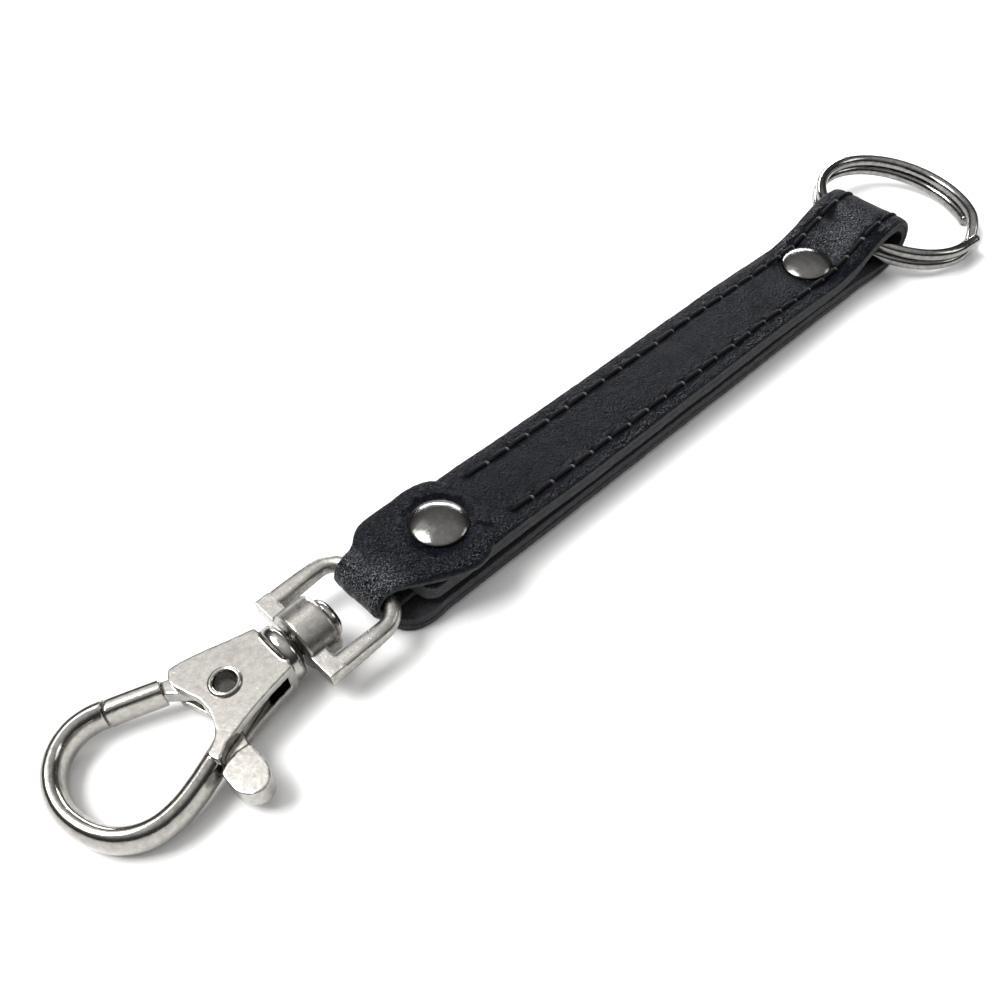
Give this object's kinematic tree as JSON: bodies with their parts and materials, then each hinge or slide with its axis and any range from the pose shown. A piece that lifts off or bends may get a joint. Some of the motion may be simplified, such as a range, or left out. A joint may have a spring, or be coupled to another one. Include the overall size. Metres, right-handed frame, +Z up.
{
  "type": "wristlet keychain",
  "caption": "Folded and stitched leather strap with a swivel trigger hook on one end and a split ring through the fold at the other.",
  "frame": {"origin": "bottom centre of the bounding box, on the surface that the object lies on", "axes": "+X along the strap towards the split ring, +Z up out of the strap's grain side"},
  "size_m": [0.1734, 0.0286, 0.0101],
  "materials": {
    "black_grain_leather": "smooth grain, low sheen",
    "black_lining_leather": "napped flesh side, matt",
    "black_thread": "waxed polyester thread",
    "cast_nickel": "tumbled nickel plate on zinc casting",
    "satin_nickel": "polished nickel plate",
    "spring_wire": "drawn spring wire",
    "bright_ring_wire": "bright nickel plate on spring steel"
  },
  "bodies": {
    "strap": {"strap_grain_ply": "black_grain_leather", "strap_lining_ply": "black_lining_leather", "seam_thread_far": "black_thread", "seam_thread_near": "black_thread", "bobbin_thread_far": "black_thread", "bobbin_thread_near": "black_thread", "leather_tab": "black_grain_leather", "clasp_rivet_cap": "satin_nickel", "clasp_rivet_post": "satin_nickel", "ring_rivet_cap": "satin_nickel", "ring_rivet_post": "satin_nickel"},
    "eye": {"swivel_eye": "cast_nickel"},
    "hook": {"hook_body": "cast_nickel", "trigger_spring": "spring_wire", "pivot_eyelet": "satin_nickel"},
    "trigger": {"trigger": "cast_nickel"},
    "ring": {"split_ring": "bright_ring_wire"}
  },
  "joints": [
    {"name": "eye_swing", "type": "hinge", "parent": "strap", "child": "eye", "pos_m": [-0.04379, 0.00118, 0.00544], "axis": [0, 1, 0], "range_deg": [-45, 95]},
    {"name": "hook_swivel", "type": "hinge", "parent": "eye", "child": "hook", "pos_m": [-0.05296, 0.00118, 0.00475], "axis": [0.9972, 0, 0.075], "continuous": true},
    {"name": "trigger_pivot", "type": "hinge", "parent": "hook", "child": "trigger", "pos_m": [-0.06453, 0.00143, 0.00388], "axis": [-0.075, 0, 0.9972], "range_deg": [0, 25], "stiffness_Nm_per_rad": 0.05, "springref_deg": -28.65},
    {"name": "ring_swing", "type": "hinge", "parent": "strap", "child": "ring", "pos_m": [0.06004, 0.00048, 0.00508], "axis": [0, 1, 0], "range_deg": [-150, 150]}
  ]
}
